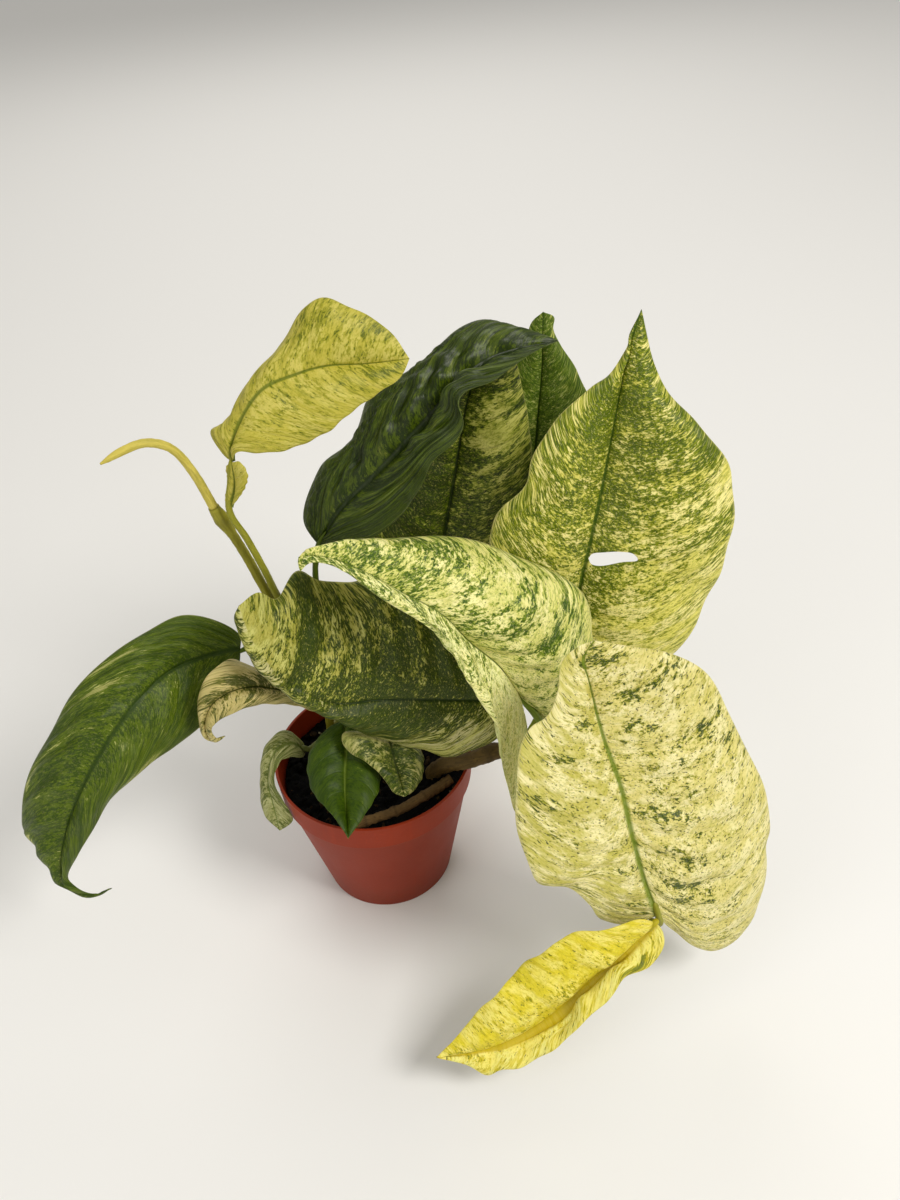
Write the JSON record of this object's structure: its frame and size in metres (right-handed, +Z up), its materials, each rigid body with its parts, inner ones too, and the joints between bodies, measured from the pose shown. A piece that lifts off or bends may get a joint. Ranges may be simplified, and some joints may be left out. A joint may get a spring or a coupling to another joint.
{
  "type": "potted variegated rhaphidophora puberula",
  "caption": "Climbing aroid with marbled cream, yellow and green leaves on stalks, a trailing stem and a young shoot, standing in potting mix in a round tapered nursery pot.",
  "frame": {"origin": "centre of the pot's flat base, on the surface it stands on", "axes": "+Z up along the pot's axis; the front of the plant faces -Y"},
  "size_m": [0.2999, 0.1943, 0.2791],
  "materials": {
    "terracotta_plastic": "satin",
    "potting_mix": "matte",
    "old_bark": "matte",
    "brown_bark": "matte",
    "green_stem": "satin",
    "dark_leaf": "satin",
    "marbled_leaf": "satin",
    "cream_leaf": "satin",
    "yellow_leaf": "satin",
    "plain_leaf": "satin"
  },
  "bodies": {
    "root": {"pot": "terracotta_plastic", "potting_mix": "potting_mix", "stem_old": "old_bark", "stem_climbing": "green_stem", "stem_trailing": "brown_bark", "stem_shoot": "green_stem", "stem_small": "green_stem", "leaf_rolled_new": "green_stem", "leaf_upright_right": "marbled_leaf", "leaf_dark_arching": "dark_leaf", "leaf_mottled_back": "marbled_leaf", "leaf_dark_back": "dark_leaf", "leaf_diagonal_front": "marbled_leaf", "leaf_cream_right": "cream_leaf", "leaf_yellow_low": "yellow_leaf", "leaf_dark_left": "dark_leaf", "leaf_cream_left": "cream_leaf", "leaf_low_middle": "marbled_leaf", "leaf_small_plain": "plain_leaf", "leaf_small_marbled": "marbled_leaf", "leaf_small_pale": "cream_leaf", "leaf_yellow_top": "yellow_leaf"}
  },
  "joints": []
}
